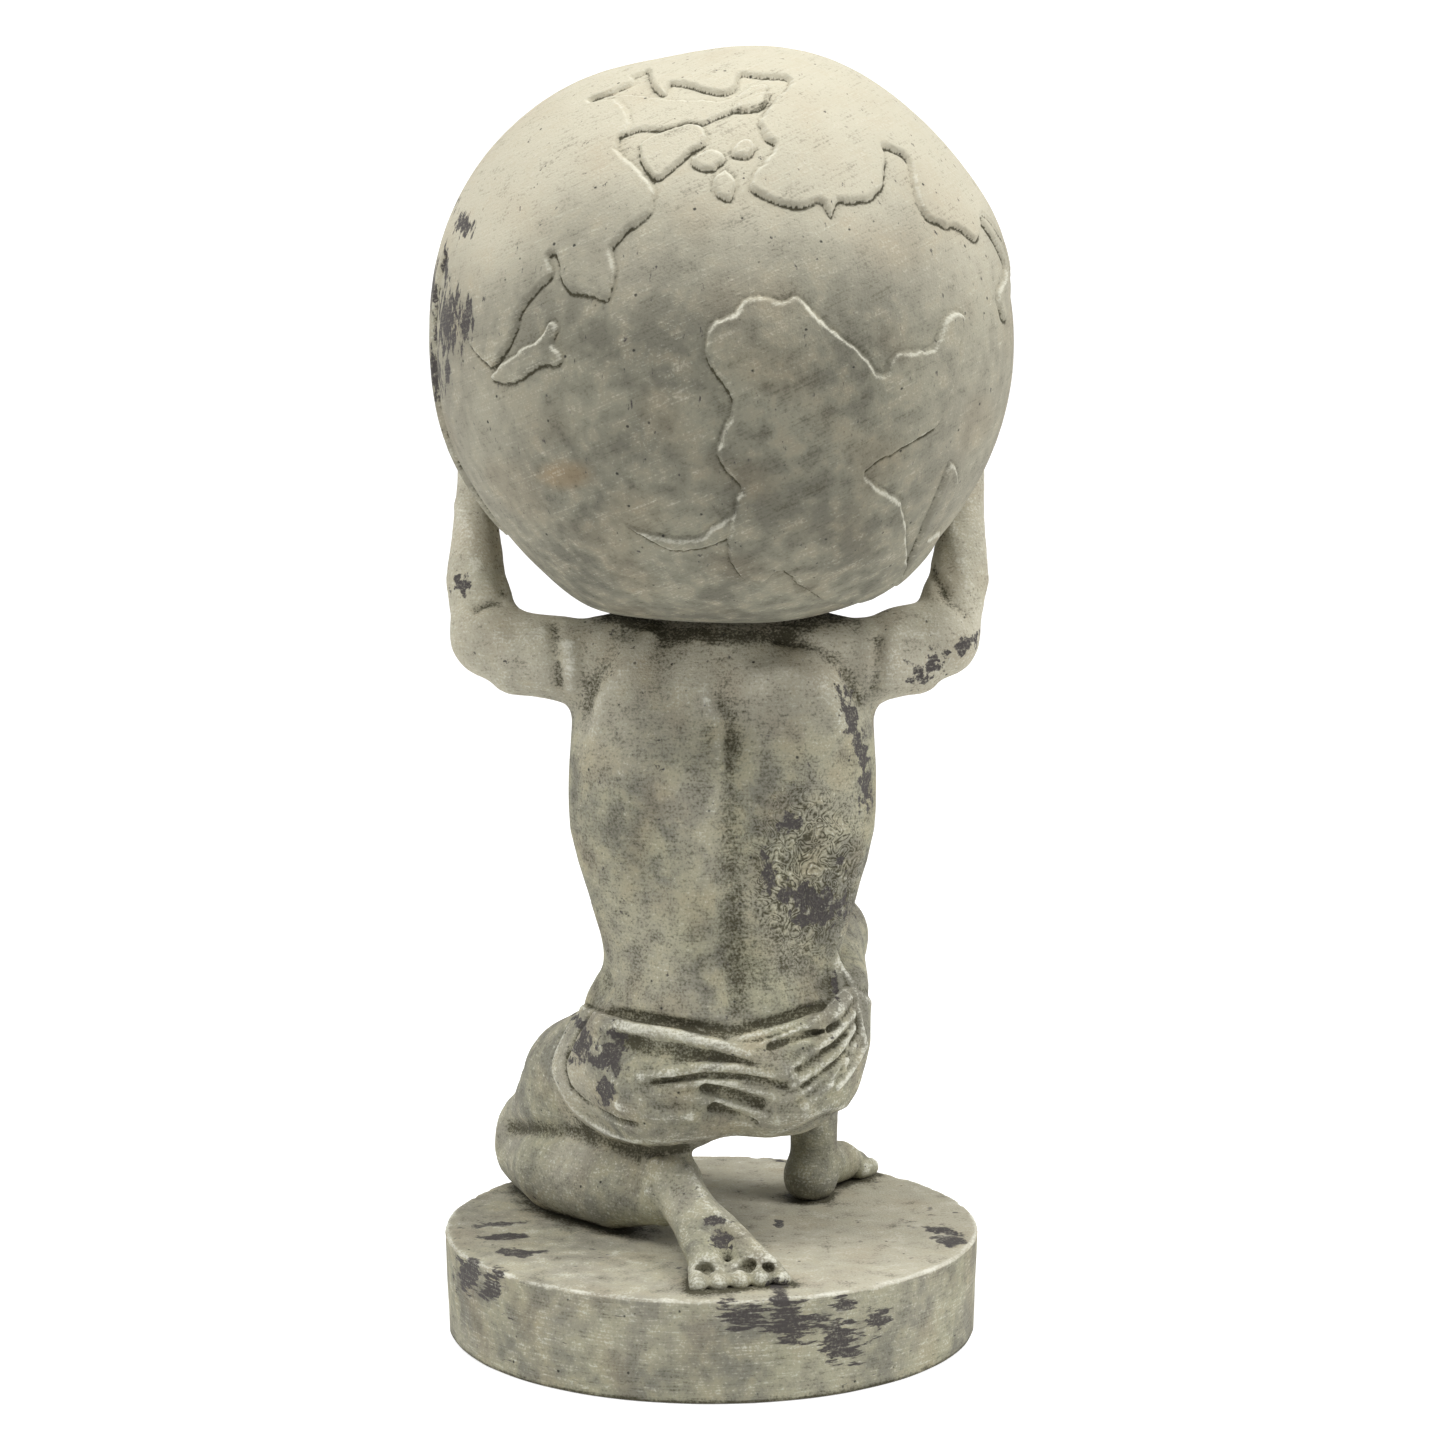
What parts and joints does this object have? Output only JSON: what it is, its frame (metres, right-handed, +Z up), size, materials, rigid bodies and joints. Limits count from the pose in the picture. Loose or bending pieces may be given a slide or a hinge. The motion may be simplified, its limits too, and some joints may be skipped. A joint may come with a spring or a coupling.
{
  "type": "atlas statue",
  "caption": "Cast garden statue of a kneeling, cloth-wrapped man who carries a relief globe on his back and hands, on a round plinth.",
  "frame": {"origin": "centre of the round plinth's underside", "axes": "+Z up; the figure looks along -Y, so its back, which the picture shows, is +Y; +X is the figure's left, where it kneels"},
  "size_m": [0.3101, 0.3118, 0.6931],
  "materials": {
    "cast_stone": "matt, aged grey-green wash with pale dry-brushed highlights and dark chips"
  },
  "bodies": {
    "root": {"atlas_statue": "cast_stone"}
  },
  "joints": []
}
